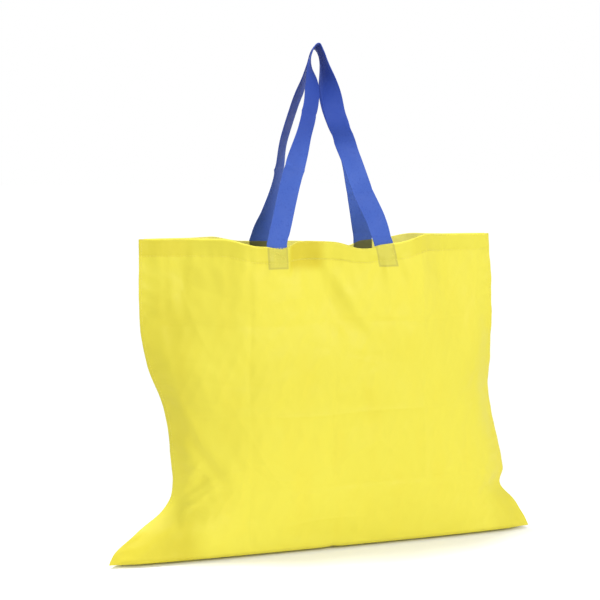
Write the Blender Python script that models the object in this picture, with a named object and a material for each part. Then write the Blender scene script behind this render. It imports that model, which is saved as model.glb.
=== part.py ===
"""Foldable shopping tote of thin woven polyester, standing open on its flat base.

Metres, +Z up. The origin is on the floor under the middle of the bag, X runs along the
bag's width and the front panel faces -Y. The cloth is drawn thicker than it is, so that
every sheet is a sound closed solid; all pieces that touch keep a small gap.
"""

import math

import bmesh
import bpy
from mathutils import Vector

# ---- driving dimensions -------------------------------------------------------------
BODY_HEIGHT = 0.381  # top of the side seams
MOUTH_SAG = 0.008  # how far the middle of the mouth hangs below the seams
CLOTH = 0.0016  # thickness of a cloth panel
GAP = 0.0003  # clearance between pieces that touch
HEM_HEIGHT = 0.020
HEM_CLOTH = 0.0008
THREAD = 0.0005  # how far a stitch line stands off its cloth
THREAD_WIDTH = 0.0010

SEAM_FLANGE = 0.006  # width of the sewn edge beyond the panels
SEAM_THICKNESS = 0.0030
TUCK_THICKNESS = 0.0044  # four layers where the base pleat is caught in the seam
SEAM_HALF_GAP = 0.0045  # from the seam's middle to the outside of each panel
PINCH_HEIGHT = 0.055  # where the seam turns outwards into the corner tuck

MOUTH_DEPTH = 0.043  # middle of the bag to the outside of each panel, at the handles
MOUTH_FLAT = 0.42  # share of the half width over which the mouth stays parallel
MOUTH_CLOSED = 0.78  # share of the half width where the two hems have met
UPPER_ZONE = 0.340  # above this height the panels are upright

STRAP_WIDTH = 0.025
STRAP = 0.0012  # webbing thickness
STRAP_SPACING = 0.137  # between the middles of a handle's two ends
STRAP_END_DEPTH = 0.028  # how far an end reaches down inside the hem
NECK_START = 0.0018  # bottom of the short free length above the hem's top edge
NECK_END = 0.0072
LOOP_START = 0.0078
LOOP_TOP = 0.610
LOOP_LEAN = 0.0145  # distance of a loop's top from the bag's middle plane

BAND_WIDTH = 0.035
BAND = 0.0010
BAND_LOOP_DEPTH = 0.0072
BAND_LOOP_LENGTH = 0.086
BAND_END_LENGTH = 0.012

PANEL_COLUMNS = 24
PANEL_ROWS = 15
BASE_REACH = 0.985  # share of the bottom's half width that the base panel fills
BASE_CLEARANCE = 0.0008  # between the base panel and the inside of the front and back panels

# Height above the floor, then the seam's distance from the middle, for each side.
LEFT_SEAM = (
    (0.000, 0.272), (0.016, 0.262), (0.036, 0.236), (0.055, 0.205), (0.075, 0.191), (0.120, 0.191),
    (0.177, 0.198), (0.230, 0.217), (0.280, 0.2255), (0.381, 0.2255),
)
RIGHT_SEAM = (
    (0.000, 0.272), (0.016, 0.267), (0.036, 0.258), (0.055, 0.243), (0.075, 0.249), (0.120, 0.240),
    (0.177, 0.228), (0.230, 0.2285), (0.280, 0.2285), (0.381, 0.2245),
)
# Height, then how far the seam stands forward of the middle plane: the corners lean to the front.
SEAM_FORWARD = ((0.000, 0.034), (0.030, 0.022), (0.055, 0.008), (0.100, 0.002), (0.200, 0.0), (0.381, 0.0))
# Height, then the distance of each panel's outside from the middle plane, at the centre.
FRONT_DEPTH = ((0.000, 0.047), (0.080, 0.0505), (0.200, 0.0515), (0.340, 0.043), (0.381, 0.043))
BACK_DEPTH = ((0.000, 0.041), (0.080, 0.044), (0.200, 0.045), (0.340, 0.043), (0.381, 0.043))
# The middle line of each handle from just above its left foot, over its top and down to its right foot: X and
# height. The two straps were folded away together, so each has taken its own set and leans a little to the left.
LOOP_ROUTES = {
    "front": (
        (-0.0620, 0.4015), (-0.0486, 0.452), (-0.0348, 0.4955), (-0.0243, 0.5355), (-0.0198, 0.562),
        (-0.0190, 0.582), (-0.0155, 0.5985), (-0.0100, 0.6095), (-0.0045, 0.599), (-0.0010, 0.580),
        (0.0036, 0.5537), (0.0089, 0.5265), (0.0192, 0.4957), (0.0290, 0.4684), (0.0413, 0.4338),
        (0.0550, 0.404),
    ),
    "rear": (
        (-0.0585, 0.4015), (-0.0434, 0.4514), (-0.0380, 0.4965), (-0.0259, 0.5376), (-0.0166, 0.564),
        (-0.0111, 0.5845), (-0.0070, 0.602), (-0.0003, 0.610), (0.0055, 0.602), (0.0098, 0.5814),
        (0.0147, 0.5563), (0.0237, 0.5286), (0.0395, 0.497), (0.0494, 0.4686), (0.0574, 0.4323),
        (0.0640, 0.3995),
    ),
}
# Shares of the rise over which each leg turns from flat to edge-on, left and right, and the turns in degrees.
LOOP_TURNS = {"front": ((0.70, 0.96), (0.62, 1.00)), "rear": ((-0.05, 0.80), (0.62, 1.00))}
LOOP_EDGE_ON = (74, 92)
LOOP_BLEND = 0.006  # half the width over which one turn becomes the other, across the top
LOOP_STEPS = 3  # lengths of webbing between two points of a route

YELLOW = (0.93, 0.82, 0.08)
YELLOW_HEM = (0.85, 0.72, 0.06)
THREAD_YELLOW = (0.80, 0.70, 0.12)
BLUE = (0.055, 0.12, 0.55)
BAND_BLUE = (0.0, 0.08, 0.60)


def smooth(low, high, value):
    share = min(1.0, max(0.0, (value - low) / (high - low)))
    return share * share * (3 - 2 * share)


def along(table, height):
    """Reads a table of (height, value) with a smooth curve through its points."""
    if height <= table[0][0]:
        return table[0][1]
    for index in range(len(table) - 1):
        (z0, v0), (z1, v1) = table[index], table[index + 1]
        if height <= z1:
            before = table[max(index - 1, 0)]
            after = table[min(index + 2, len(table) - 1)]
            slope0 = (v1 - before[1]) / (z1 - before[0])
            slope1 = (after[1] - v0) / (after[0] - z0)
            span, share = z1 - z0, (height - z0) / (z1 - z0)
            square, cube = share**2, share**3
            return (
                (2 * cube - 3 * square + 1) * v0
                + (cube - 2 * square + share) * span * slope0
                + (3 * square - 2 * cube) * v1
                + (cube - square) * span * slope1
            )
    return table[-1][1]


# ---- shape of the bag ------------------------------------------------------------------
def seam_x(side, height):
    """X of the seam's outer edge; side is -1 for left and 1 for right."""
    return side * along(LEFT_SEAM if side < 0 else RIGHT_SEAM, height)


def seam_y(height):
    return -along(SEAM_FORWARD, height)


def top_height(x):
    """Height of the mouth's edge, which hangs a little between the handles."""
    return BODY_HEIGHT - MOUTH_SAG * (1 - smooth(0.088, 0.135, abs(x)))


def fullness(share, height):
    """0 where a panel stands furthest out and 1 where it has come in to the seam."""
    body = share**4
    closing = smooth(MOUTH_FLAT, MOUTH_CLOSED, share)
    mouth = 0.92 * closing + 0.08 * max(0.0, (share - MOUTH_FLAT) / (1 - MOUTH_FLAT))
    blend = smooth(0.20, UPPER_ZONE, height)
    return body + (mouth - body) * blend


def panel_point(facing, across, up):
    """A point on a panel's outside: facing is -1 (front) or 1 (back), across runs from -1 to 1."""
    level = up * BODY_HEIGHT
    side = -1 if across < 0 else 1
    edge = seam_x(side, level) - side * (SEAM_FLANGE + GAP)
    x = edge * abs(across)
    depth = along(FRONT_DEPTH if facing < 0 else BACK_DEPTH, level)
    at_seam = seam_y(level) + facing * SEAM_HALF_GAP
    y = facing * depth + (at_seam - facing * depth) * fullness(abs(across), level)
    return Vector((x, y, level * top_height(x) / BODY_HEIGHT))


def row_heights():
    """Shares of the body's height: close together at the corner tucks, with a row on the hem line."""
    lower = 1 - HEM_HEIGHT / BODY_HEIGHT
    return [lower * (row / PANEL_ROWS) ** 1.45 for row in range(PANEL_ROWS + 1)] + [1.0]


def columns():
    return [2 * column / PANEL_COLUMNS - 1 for column in range(PANEL_COLUMNS + 1)]


# ---- making solids ---------------------------------------------------------------------
def material(name, colour, roughness):
    made = bpy.data.materials.new(name)
    made.use_nodes = True
    shader = made.node_tree.nodes["Principled BSDF"]
    shader.inputs["Base Color"].default_value = (*colour, 1)
    shader.inputs["Roughness"].default_value = roughness
    shader.inputs["Metallic"].default_value = 0.0
    return made


def add_object(name, mesh_data, look, pivot=None):
    """Links a bmesh as a new object whose origin is at pivot."""
    bmesh.ops.remove_doubles(mesh_data, verts=mesh_data.verts, dist=1e-6)
    bmesh.ops.recalc_face_normals(mesh_data, faces=mesh_data.faces)
    centre = Vector(pivot) if pivot else Vector((0, 0, 0))
    for vertex in mesh_data.verts:
        vertex.co -= centre
    mesh = bpy.data.meshes.new(name)
    mesh_data.to_mesh(mesh)
    mesh_data.free()
    mesh.materials.append(look)
    made = bpy.data.objects.new(name, mesh)
    made.location = centre
    bpy.context.scene.collection.objects.link(made)
    return made


def solid_between(outer, inner):
    """A closed bmesh between two grids of points, each a list of rows."""
    made = bmesh.new()
    skins = [[[made.verts.new(p) for p in row] for row in grid] for grid in (outer, inner)]
    rows, count = len(outer), len(outer[0])
    for skin in skins:
        for r in range(rows - 1):
            for c in range(count - 1):
                made.faces.new((skin[r][c], skin[r][c + 1], skin[r + 1][c + 1], skin[r + 1][c]))
    rim = [(0, c) for c in range(count)] + [(r, count - 1) for r in range(1, rows)]
    rim += [(rows - 1, c) for c in range(count - 2, -1, -1)] + [(r, 0) for r in range(rows - 2, 0, -1)]
    for (r0, c0), (r1, c1) in zip(rim, rim[1:] + rim[:1]):
        made.faces.new((skins[0][r0][c0], skins[0][r1][c1], skins[1][r1][c1], skins[1][r0][c0]))
    return made


def box(low, high):
    made = bmesh.new()
    bmesh.ops.create_cube(made, size=1)
    for vertex in made.verts:
        share = vertex.co + Vector((0.5, 0.5, 0.5))
        vertex.co = Vector(low[i] + (high[i] - low[i]) * share[i] for i in range(3))
    return made


def shifted(grid, dy):
    return [[p + Vector((0, dy, 0)) for p in row] for row in grid]


# ---- cloth -----------------------------------------------------------------------------
def add_panel(name, facing, look):
    outer = [[panel_point(facing, across, up) for across in columns()] for up in row_heights()]
    return add_object(name, solid_between(outer, shifted(outer, -facing * CLOTH)), look)


def strap_room(x):
    """Extra space behind a panel for the strap ends sewn under the hem."""
    return (STRAP + GAP) * (1 - smooth(0.085, 0.110, abs(x)))


def add_hem(name, facing, look):
    """The cloth turned in along the mouth, which holds the strap ends against the panel."""
    def moved(p, depth):
        return p + Vector((0, -facing * (CLOTH + GAP + strap_room(p.x) + depth), 0))

    rows = [[panel_point(facing, across, up) for across in columns()] for up in row_heights()[-2:]]
    outer = [[moved(p, 0.0) for p in row] for row in rows]
    inner = [[moved(p, HEM_CLOTH) for p in row] for row in rows]
    return add_object(name, solid_between(outer, inner), look)


def add_hem_stitching(name, facing, look):
    """The line of stitches along the hem's lower edge, on the outside of the panel."""
    low = row_heights()[-2]
    base = [panel_point(facing, across, low) for across in columns()]
    rows = [[p + Vector((0, facing * GAP, rise)) for p in base] for rise in (GAP, GAP + THREAD_WIDTH)]
    return add_object(name, solid_between(rows, shifted(rows, facing * THREAD)), look)


def add_seam(name, side, low, high, steps, thickness, look):
    """The sewn edge beyond the panels, between two heights."""
    rows = []
    for step in range(steps + 1):
        height = low + (high - low) * step / steps
        outside = seam_x(side, height)
        inside = outside - side * SEAM_FLANGE
        y = seam_y(height) - thickness / 2
        rows.append([Vector((x, y, height)) for x in (inside, outside)])
    return add_object(name, solid_between(rows, shifted(rows, thickness)), look)


def add_seam_stitching(name, side, look):
    """The line of stitches along a side seam, on its front."""
    low, high, steps = PINCH_HEIGHT + 0.004, BODY_HEIGHT - 0.002, 14
    rows = []
    for step in range(steps + 1):
        height = low + (high - low) * step / steps
        middle = seam_x(side, height) - side * SEAM_FLANGE / 2
        y = seam_y(height) - SEAM_THICKNESS / 2 - GAP
        rows.append([Vector((middle + dx, y, height)) for dx in (-THREAD_WIDTH / 2, THREAD_WIDTH / 2)])
    return add_object(name, solid_between(rows, shifted(rows, -THREAD)), look)


def add_base(look):
    """The flat bottom, just inside the lower edges of the two panels."""
    shares = [share * BASE_REACH for share in columns()]
    rows = []
    for facing in (-1, 1):
        edge = [panel_point(facing, across, 0.0) for across in shares]
        rows.append([p + Vector((0, -facing * (CLOTH + BASE_CLEARANCE), 0)) for p in edge])
    upper = [[p + Vector((0, 0, CLOTH)) for p in row] for row in rows]
    return add_object("base_panel", solid_between(rows, upper), look)


# ---- handles ---------------------------------------------------------------------------
def strap_outside(facing):
    """Y of the face of the strap ends that lies against the panel."""
    return facing * (MOUTH_DEPTH - CLOTH - GAP)


def add_strap_block(name, facing, side, low, high, look, pivot=None):
    """A short straight length of the webbing, measured up from the mouth's edge."""
    edge = BODY_HEIGHT - MOUTH_SAG
    x = side * STRAP_SPACING / 2
    near, far = sorted((strap_outside(facing), strap_outside(facing) - facing * STRAP))
    corner_low = (x - STRAP_WIDTH / 2, near, edge + low)
    corner_high = (x + STRAP_WIDTH / 2, far, edge + high)
    return add_object(name, box(corner_low, corner_high), look, pivot)


def add_triangle_rim(made, triangle, width):
    """Three faces along the edges of a triangle, leaving its middle open."""
    lengths = [(triangle[i - 2].co - triangle[i - 1].co).length for i in range(3)]
    around = sum(lengths)
    heart = sum((v.co * length for v, length in zip(triangle, lengths)), Vector()) / around
    double_area = (triangle[1].co - triangle[0].co).cross(triangle[2].co - triangle[0].co).length
    shrink = 1 - width * around / double_area
    inner = [made.verts.new(heart + (v.co - heart) * shrink) for v in triangle]
    for i in range(3):
        made.faces.new((triangle[i - 1], triangle[i], inner[i], inner[i - 1]))


def add_box_stitch(name, facing, side, look):
    """The square of stitches with a cross in it that holds a strap end: one flat lattice."""
    half, low, high = 0.0095, -0.0155, -0.003
    x0, edge = side * STRAP_SPACING / 2, BODY_HEIGHT - MOUTH_SAG
    y = facing * (MOUTH_DEPTH + GAP + THREAD / 2)
    made = bmesh.new()
    outline = ((-half, low), (half, low), (half, high), (-half, high))
    corners = [made.verts.new((x0 + px, y, edge + pz)) for px, pz in outline]
    centre = made.verts.new((x0, y, edge + (low + high) / 2))
    for index in range(4):
        triangle = (corners[index], corners[(index + 1) % 4], centre)
        add_triangle_rim(made, triangle, THREAD_WIDTH / 2)
    stitch = add_object(name, made, look)
    solidify = stitch.modifiers.new("Thread", "SOLIDIFY")
    solidify.thickness = THREAD
    solidify.offset = 0
    return stitch


def foot_height():
    return BODY_HEIGHT - MOUTH_SAG + LOOP_START


def loop_path(word):
    """The middle line of a handle from its left foot to its right one, as points (x, height)."""
    low = foot_height()
    guide = [(-STRAP_SPACING / 2, low), *LOOP_ROUTES[word], (STRAP_SPACING / 2, low)]
    guide = [Vector(p) for p in guide]
    path = []
    for index in range(len(guide) - 1):
        a, b = guide[max(index - 1, 0)], guide[index]
        c, d = guide[index + 1], guide[min(index + 2, len(guide) - 1)]
        for step in range(LOOP_STEPS):
            t = step / LOOP_STEPS
            bend = (2 * a - 5 * b + 4 * c - d) * t**2 + (3 * b - a - 3 * c + d) * t**3
            path.append(0.5 * (2 * b + (c - a) * t + bend))
    path.append(guide[-1])
    return path


def add_loop(word, facing, look, pivot):
    """A handle's free length: flat to the panel at its feet and turned edge-on at its top."""
    path = loop_path(word)
    top = max(range(len(path)), key=lambda index: path[index].y)
    foot_y = strap_outside(facing) - facing * STRAP / 2
    made, rings = bmesh.new(), []
    for index, (x, z) in enumerate(path):
        rise = (z - foot_height()) / (LOOP_TOP - foot_height())
        point = Vector((x, foot_y + (facing * LOOP_LEAN - foot_y) * rise, z))
        before, after = path[max(index - 1, 0)], path[min(index + 1, len(path) - 1)]
        ahead = Vector((after.x - before.x, 0, after.y - before.y))
        if index in (0, len(path) - 1):
            ahead = Vector((0, 0, 1 if index == 0 else -1))
        ahead.normalize()
        level = Vector((ahead.z, 0, -ahead.x))
        left, right = LOOP_EDGE_ON
        past = smooth(-LOOP_BLEND, LOOP_BLEND, x - path[top].x)
        turn = math.radians(left + (right - left) * past) * smooth(*LOOP_TURNS[word][index > top], rise)
        across = level * math.cos(turn) + Vector((0, 1, 0)) * math.sin(turn)
        normal = ahead.cross(across)
        ring = []
        for sx, sn in ((-1, -1), (1, -1), (1, 1), (-1, 1)):
            ring.append(made.verts.new(point + across * (sx * STRAP_WIDTH / 2) + normal * (sn * STRAP / 2)))
        rings.append(ring)
    for ring, following in zip(rings, rings[1:]):
        # Both faces are split along the same diagonal, so the twisted strap keeps its thickness.
        for a, b in ((0, 1), (3, 2), (1, 2), (0, 3)):
            made.faces.new((ring[a], ring[b], following[b]))
            made.faces.new((ring[a], following[b], following[a]))
    made.faces.new(rings[0])
    made.faces.new(rings[-1])
    return add_object(f"{word}_handle_loop", made, look, pivot)


def add_handle(word, facing, strap_look, thread_look):
    edge = BODY_HEIGHT - MOUTH_SAG
    hinge_y = strap_outside(facing) + facing * GAP
    lean_pivot = (0, hinge_y, edge + NECK_START - GAP / 2)
    swing_pivot = (0, hinge_y, edge + (NECK_END + LOOP_START) / 2)
    for side, side_word in ((-1, "left"), (1, "right")):
        start = f"{word}_{side_word}_strap"
        add_strap_block(f"{start}_end", facing, side, -STRAP_END_DEPTH, NECK_START - GAP, strap_look)
        add_strap_block(f"{start}_neck", facing, side, NECK_START, NECK_END, strap_look, lean_pivot)
        add_box_stitch(f"{word}_{side_word}_box_stitch", facing, side, thread_look)
    add_loop(word, facing, strap_look, swing_pivot)


# ---- closure band ----------------------------------------------------------------------
def add_closure_band(look, thread_look):
    """An elastic loop sewn to the outside of the back panel, under the hem, for holding the folded bag."""
    wall = MOUTH_DEPTH + GAP
    top = BODY_HEIGHT - MOUTH_SAG - HEM_HEIGHT
    hinge_height = top - BAND_END_LENGTH
    half = BAND_WIDTH / 2
    add_object("closure_band_end", box((-half, wall, hinge_height), (half, wall + BAND, top)), look)
    stitch_y = wall + BAND + GAP
    stitch_low = (-half + 0.003, stitch_y, hinge_height + 0.004)
    stitch_high = (half - 0.003, stitch_y + THREAD, hinge_height + 0.008)
    add_object("closure_band_stitch", box(stitch_low, stitch_high), thread_look)

    loop_top = hinge_height - 2 * GAP
    middle_y = wall + 0.0012 + BAND_LOOP_DEPTH / 2

    def outline(inset):
        radius = BAND_LOOP_DEPTH / 2 - inset
        ends = ((loop_top - BAND_LOOP_DEPTH / 2, 0), (loop_top - BAND_LOOP_LENGTH + BAND_LOOP_DEPTH / 2, 180))
        points = []
        for height, start in ends:
            for step in range(9):
                angle = math.radians(start + 180 * step / 8)
                points.append((middle_y + radius * math.cos(angle), height + radius * math.sin(angle)))
        return points

    made = bmesh.new()
    rings = []
    for x in (-half, half):
        for inset in (0.0, BAND):
            rings.append([made.verts.new((x, y, z)) for y, z in outline(inset)])
    count = len(rings[0])
    for index in range(count):
        nxt = (index + 1) % count
        for first, second in ((0, 1), (2, 3), (0, 2), (1, 3)):
            a, b = rings[first], rings[second]
            made.faces.new((a[index], a[nxt], b[nxt], b[index]))
    add_object("closure_band_loop", made, look, (0, middle_y, loop_top))


# ---- assembly --------------------------------------------------------------------------
def main():
    for old in list(bpy.data.objects):
        bpy.data.objects.remove(old)

    cloth = material("yellow_cloth", YELLOW, 0.55)
    hem_cloth = material("yellow_hem", YELLOW_HEM, 0.55)
    thread = material("thread", THREAD_YELLOW, 0.7)
    webbing = material("blue_webbing", BLUE, 0.6)
    elastic = material("blue_elastic", BAND_BLUE, 0.6)

    for word, facing in (("front", -1), ("back", 1)):
        add_panel(f"{word}_panel", facing, cloth)
        add_hem(f"{word}_hem", facing, hem_cloth)
        add_hem_stitching(f"{word}_hem_stitching", facing, thread)
    add_base(cloth)
    for word, side in (("left", -1), ("right", 1)):
        seam_low = PINCH_HEIGHT + GAP
        add_seam(f"{word}_side_seam", side, seam_low, BODY_HEIGHT, 14, SEAM_THICKNESS, hem_cloth)
        add_seam(f"{word}_corner_tuck", side, 0.0, PINCH_HEIGHT, 6, TUCK_THICKNESS, hem_cloth)
        add_seam_stitching(f"{word}_seam_stitching", side, thread)
    add_handle("front", -1, webbing, thread)
    add_handle("rear", 1, webbing, thread)
    add_closure_band(elastic, thread)


main()
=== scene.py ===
"""The looks of the foldable tote bag: cloth, hems, stitches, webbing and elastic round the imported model.

Metres, +Z up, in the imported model's frame. The cloth follows the same shape functions as the CAD source,
at the real thickness and with the folds, creases and puckers of thin polyester.
"""

import functools
import math

import bmesh
import bpy
import numpy as np
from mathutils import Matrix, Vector


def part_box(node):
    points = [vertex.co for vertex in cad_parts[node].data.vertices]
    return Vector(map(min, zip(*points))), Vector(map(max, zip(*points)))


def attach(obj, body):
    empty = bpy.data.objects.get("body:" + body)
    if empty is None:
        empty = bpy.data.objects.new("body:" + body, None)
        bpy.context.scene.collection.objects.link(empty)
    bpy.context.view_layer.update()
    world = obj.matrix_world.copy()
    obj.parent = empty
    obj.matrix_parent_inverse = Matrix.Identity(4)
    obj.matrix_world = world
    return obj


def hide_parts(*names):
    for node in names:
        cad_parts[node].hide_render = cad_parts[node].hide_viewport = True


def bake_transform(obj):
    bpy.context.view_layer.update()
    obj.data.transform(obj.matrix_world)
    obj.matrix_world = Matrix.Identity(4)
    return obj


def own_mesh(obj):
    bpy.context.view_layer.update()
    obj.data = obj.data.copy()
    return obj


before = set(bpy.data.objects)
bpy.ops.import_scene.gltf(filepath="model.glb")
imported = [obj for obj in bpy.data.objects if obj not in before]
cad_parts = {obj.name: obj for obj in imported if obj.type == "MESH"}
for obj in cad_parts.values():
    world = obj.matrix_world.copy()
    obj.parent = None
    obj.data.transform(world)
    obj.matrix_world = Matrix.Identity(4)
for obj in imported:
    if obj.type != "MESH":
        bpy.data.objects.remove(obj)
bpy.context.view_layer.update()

# ---- sizes shared with the CAD source ----
BODY_HEIGHT = 0.381
MOUTH_SAG = 0.008
MOUTH_EDGE = BODY_HEIGHT - MOUTH_SAG  # height of the mouth where the straps go in
HEM_HEIGHT = 0.020
SEAM_FLANGE = 0.006
SEAM_HALF_GAP = 0.0045
PINCH_HEIGHT = 0.055
MOUTH_DEPTH = 0.043
MOUTH_FLAT = 0.42
MOUTH_CLOSED = 0.78
UPPER_ZONE = 0.340
STRAP_WIDTH = 0.025
STRAP = 0.0012
STRAP_SPACING = 0.137
STRAP_END_DEPTH = 0.028
STRAP_END_MIDDLE = MOUTH_EDGE - STRAP_END_DEPTH / 2
STRAP_OUTSIDE = 0.0411  # distance of the strap ends' outer face from the middle plane
NECK_START = 0.0018
LOOP_START = 0.0078
LOOP_TOP = 0.610
LOOP_LEAN = 0.0145
LEFT_SEAM = (
    (0.000, 0.272), (0.016, 0.262), (0.036, 0.236), (0.055, 0.205), (0.075, 0.191), (0.120, 0.191),
    (0.177, 0.198), (0.230, 0.217), (0.280, 0.2255), (0.381, 0.2255),
)
RIGHT_SEAM = (
    (0.000, 0.272), (0.016, 0.267), (0.036, 0.258), (0.055, 0.243), (0.075, 0.249), (0.120, 0.240),
    (0.177, 0.228), (0.230, 0.2300), (0.280, 0.2310), (0.330, 0.2290), (0.381, 0.2245),
)
SEAM_FORWARD = (
    (0.000, 0.034), (0.030, 0.022), (0.055, 0.008), (0.100, 0.002), (0.200, 0.0), (0.381, 0.0),
)
FRONT_DEPTH = ((0.000, 0.047), (0.080, 0.0505), (0.200, 0.0515), (0.340, 0.043), (0.381, 0.043))
BACK_DEPTH = ((0.000, 0.041), (0.080, 0.044), (0.200, 0.045), (0.340, 0.043), (0.381, 0.043))
# How far the mouth's edge rises or dips: x, rise.
FRONT_WAVE = (
    (-0.125, 0.0), (-0.100, -0.0010), (-0.083, -0.0016), (-0.064, -0.0044), (-0.054, -0.0012),
    (-0.042, 0.0040), (-0.018, 0.0042), (0.004, 0.0026), (0.018, -0.0010), (0.030, -0.0050),
    (0.046, -0.0056), (0.060, -0.0020), (0.080, 0.0002), (0.100, 0.0028), (0.118, 0.0030), (0.145, 0.0),
)
BACK_WAVE = (
    (-0.120, 0.0), (-0.090, 0.0010), (-0.040, 0.0003), (-0.010, -0.0006), (0.010, -0.0034),
    (0.028, -0.0066), (0.044, -0.0080), (0.053, -0.0060), (0.063, -0.0016), (0.075, 0.0),
    (0.110, 0.0006), (0.145, 0.0),
)
LOOP_ROUTES = {
    "front": (
        (-0.0620, 0.4015), (-0.0486, 0.452), (-0.0336, 0.4955), (-0.0222, 0.5355), (-0.0190, 0.562),
        (-0.0212, 0.582), (-0.0188, 0.5985), (-0.0125, 0.6090), (-0.0060, 0.600), (-0.0014, 0.580),
        (0.0036, 0.5537), (0.0089, 0.5265), (0.0192, 0.4957), (0.0290, 0.4684), (0.0413, 0.4338),
        (0.0550, 0.404),
    ),
    "rear": (
        (-0.0588, 0.4015), (-0.0450, 0.4514), (-0.0405, 0.4965), (-0.0280, 0.5376), (-0.0185, 0.564),
        (-0.0142, 0.5845), (-0.0105, 0.600), (-0.0033, 0.609), (0.0036, 0.601), (0.0088, 0.5814),
        (0.0147, 0.5563), (0.0237, 0.5286), (0.0395, 0.497), (0.0494, 0.4686), (0.0574, 0.4323),
        (0.0640, 0.3995),
    ),
}
# Where each leg turns edge on, as shares of the loop's height: from, to, and the part of the whole turn.
LOOP_TURNS = {
    "front": (((0.36, 0.56, 0.38), (0.74, 0.96, 0.62)), ((0.60, 0.95, 1.0),)),
    "rear": (((-0.30, 0.50, 0.72), (0.75, 0.95, 0.28)), ((0.60, 0.95, 1.0),)),
}
LOOP_EDGE_ON = (74, 92)  # the whole turn of the left and the right legs, in degrees
LOOP_WRINGS = {"front": 40, "rear": 34}  # a short twist part way up each right leg, in degrees
WRING_AT, WRING_REACH = 0.540, 0.060  # as shares of the loop's height
# Fold marks across each strap: height, whether on the right leg, depth.
LOOP_CREASES = {
    "front": (
        (0.4640, False, -0.0024), (0.5290, False, 0.0012),
        (0.4330, True, 0.0016), (0.4960, True, -0.0018),
    ),
    "rear": ((0.4600, False, 0.0016), (0.5000, True, 0.0016), (0.4350, True, -0.0012)),
}
LOOP_BLEND = 0.006  # over this distance at the top, the left leg's turn becomes the right leg's

# ---- the real cloth ----
CLOTH = 0.00025  # drawn thickness of one layer
HEM_LAYERS = 0.0007  # how far the hem's inner layer stands inside the panel
EDGE_STEP = 0.0005  # how far the panels' side edges end short of the seam's outer edge
LAYER_GAP = 0.00045  # half the distance between the panels' outsides where they are sewn together
# Sideways metres per metre of height, in the sewn ends and in the legs where they leave the mouth.
STRAP_LEANS = {("front", -1): -0.06, ("front", 1): -0.24}
LEG_LEANS = {("front", -1): 0.24, ("front", 1): -0.42, ("rear", -1): 0.36, ("rear", 1): -0.10}
EDGE_LIFT = 0.0042  # how far the panels' lower edges stand above the floor
FOLD_LINES_X = (-0.103, 0.000, 0.118)  # creases left by folding the bag away, upright
FOLD_LINES_Z = (0.081, 0.170, 0.279)  # and across
FOLD_WIDTH = 0.0042
CELL_BOWS = (  # metres at the middle of each field between the creases, from the lowest row up
    (0.0008, 0.0006, -0.0005, 0.0008),
    (0.0010, -0.0008, 0.0010, -0.0006),
    (0.0004, 0.0011, -0.0008, 0.0009),
    (0.0017, 0.0007, 0.0006, -0.0008),
)
COLUMNS, ROWS = 240, 190  # points of a panel's mesh
STITCH, STITCH_PITCH, STITCH_RADIUS = 0.0026, 0.0036, 0.00028
BOX_STITCH_HALF_WIDTH = 0.0095
BOX_STITCH_LOW, BOX_STITCH_HIGH = -0.0155, -0.0030  # from the mouth's edge
ELASTIC = 0.0010
FRONT_SEED, BACK_SEED = 11, 23


def smooth(low, high, value):
    share = np.clip((value - low) / (high - low), 0.0, 1.0)
    return share * share * (3 - 2 * share)


def along(table, height):
    """Reads a table of (height, value) with a smooth curve through its points."""
    z, v = np.array(table, float).T
    last = len(z) - 1
    after, before = np.r_[1 : last + 1, last], np.r_[0, 0:last]
    slope = (v[after] - v[before]) / (z[after] - z[before])
    height = np.clip(height, z[0], z[-1])
    i = np.clip(np.searchsorted(z, height, side="right") - 1, 0, last - 1)
    span = z[i + 1] - z[i]
    t = (height - z[i]) / span
    value = (2 * t**3 - 3 * t**2 + 1) * v[i] + (t**3 - 2 * t**2 + t) * span * slope[i]
    return value + (3 * t**2 - 2 * t**3) * v[i + 1] + (t**3 - t**2) * span * slope[i + 1]


# ---- shape of the bag ----
def seam_x(side, height):
    return side * np.where(np.asarray(side) < 0, along(LEFT_SEAM, height), along(RIGHT_SEAM, height))


def seam_y(height):
    return -along(SEAM_FORWARD, height)


def top_height(x):
    return BODY_HEIGHT - MOUTH_SAG * (1 - smooth(0.088, 0.135, np.abs(x)))


def fullness(share, height):
    body = share**4
    closing = smooth(MOUTH_FLAT, MOUTH_CLOSED, share)
    mouth = 0.92 * closing + 0.08 * np.maximum(0.0, (share - MOUTH_FLAT) / (1 - MOUTH_FLAT))
    return body + (mouth - body) * smooth(0.20, UPPER_ZONE, height)


def waves(x, z, seed, count, longest, shortest):
    """Smooth uneven ripples between -1 and 1, from waves that run every way."""
    rng = np.random.default_rng(seed)
    total = np.zeros_like(x)
    for _ in range(count):
        length = shortest * (longest / shortest) ** rng.random()
        angle, phase = rng.random(2) * 2 * math.pi
        ahead = x * math.cos(angle) + z * math.sin(angle)
        aside = x * math.sin(angle) - z * math.cos(angle)
        bend = 0.6 * np.sin(2 * math.pi * aside / (2.3 * length) + phase * 3)
        total += np.sin(2 * math.pi * ahead / length + phase + bend)
    return total / math.sqrt(count)


def near_line(x, z, start, end, width):
    """1 on the straight line between two points, falling smoothly to 0 on both sides of it."""
    (x0, z0), (x1, z1) = start, end
    length = math.hypot(x1 - x0, z1 - z0)
    share = np.clip(((x - x0) * (x1 - x0) + (z - z0) * (z1 - z0)) / length**2, 0, 1)
    away = np.hypot(x - x0 - share * (x1 - x0), z - z0 - share * (z1 - z0))
    return np.exp(-((away / width) ** 2))


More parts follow.
